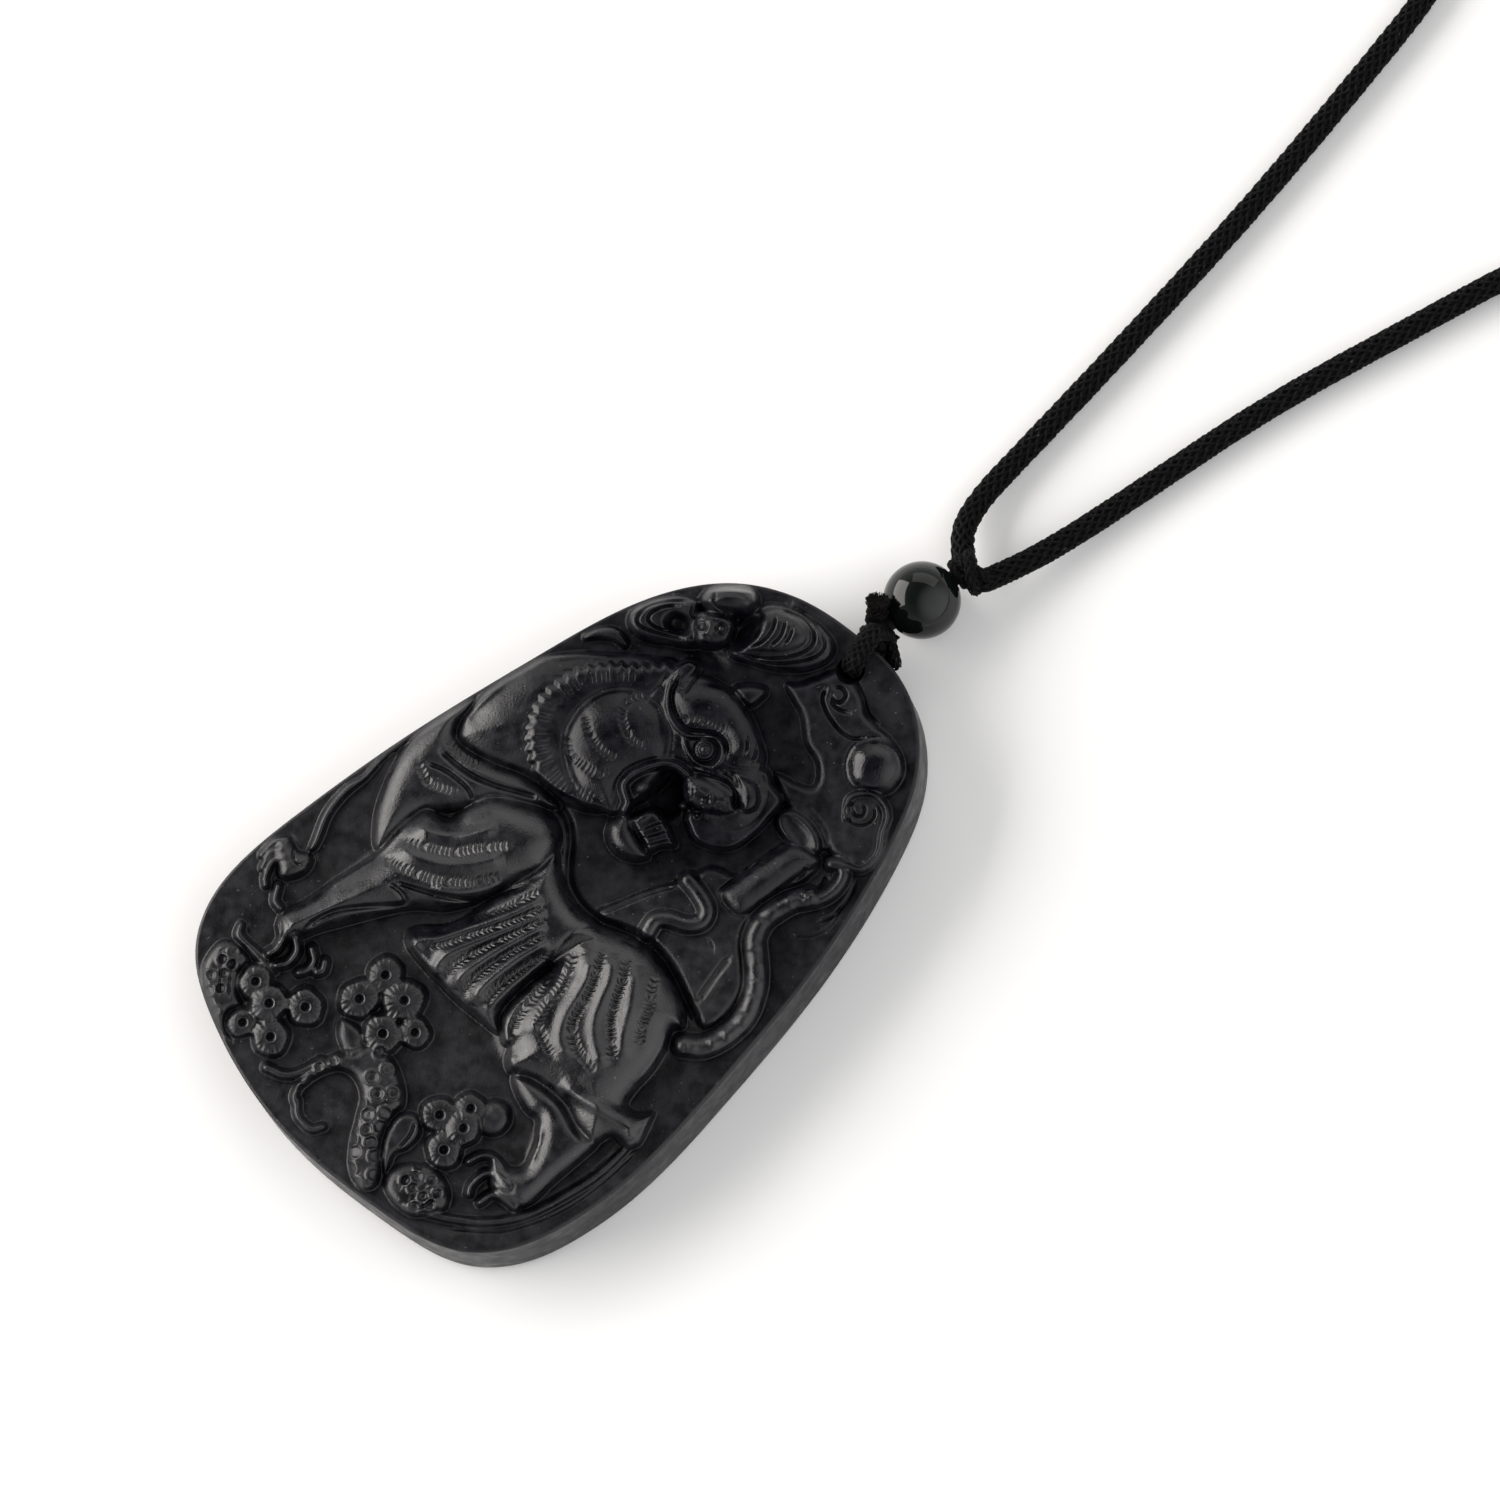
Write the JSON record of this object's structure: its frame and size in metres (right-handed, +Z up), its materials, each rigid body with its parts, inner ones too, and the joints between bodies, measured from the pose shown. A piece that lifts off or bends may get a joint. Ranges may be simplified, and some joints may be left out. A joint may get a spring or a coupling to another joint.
{
  "type": "tiger pendant on a braided neck cord",
  "caption": "Carved black stone tiger plaque on a braided cord bail, with a round bead, wrapped knots and a closed neck cord, lying flat.",
  "frame": {"origin": "middle of the plaque's flat back, on the surface that it lies on", "axes": "+Z up out of the carved face; +X is the picture's right and +Y its top on the surface, so the plaque's long axis points 41.1 degrees from +X towards +Y"},
  "size_m": [0.1433, 0.1461, 0.009],
  "materials": {
    "carved_stone": "black stone, satin ground with polished high spots",
    "bead_stone": "polished black-green stone",
    "braided_cord": "matte black braided cord"
  },
  "bodies": {
    "root": {"plaque": "carved_stone", "bead": "bead_stone", "bail_loop": "braided_cord", "bail_knot": "braided_cord", "collar_knot": "braided_cord", "neck_cord": "braided_cord", "joining_knot": "braided_cord"}
  },
  "joints": []
}
